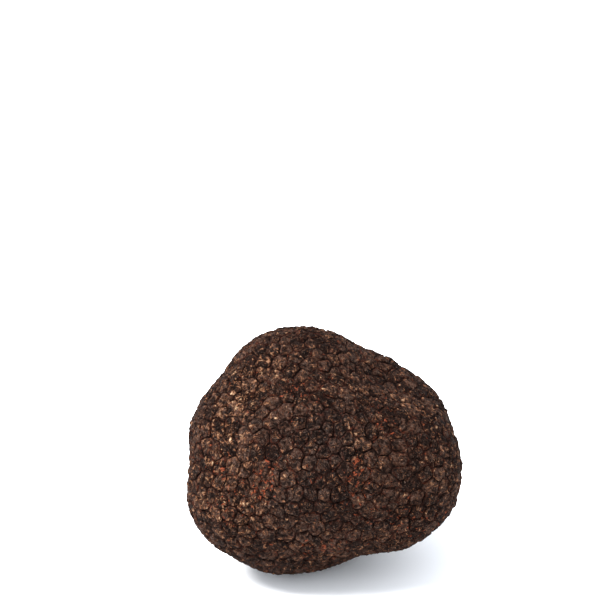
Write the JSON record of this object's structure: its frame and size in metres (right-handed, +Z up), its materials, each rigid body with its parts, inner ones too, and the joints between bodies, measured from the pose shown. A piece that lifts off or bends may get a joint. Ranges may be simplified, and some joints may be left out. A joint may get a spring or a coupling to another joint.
{
  "type": "black truffle",
  "caption": "Whole black truffle: a lobed, rounded fruiting body with a rind of low polygonal warts parted by fissures, lying on a small flat spot.",
  "frame": {"origin": "under the middle of the body's box, on the surface that it rests on", "axes": "+Z up, +X along the longest extent, -Y towards the viewer of the source view"},
  "size_m": [0.0608, 0.0488, 0.0531],
  "materials": {
    "truffle": "matt, rough, charcoal black to dark brown, with pale tan and rust flecks"
  },
  "bodies": {
    "root": {"truffle": "truffle"}
  },
  "joints": []
}
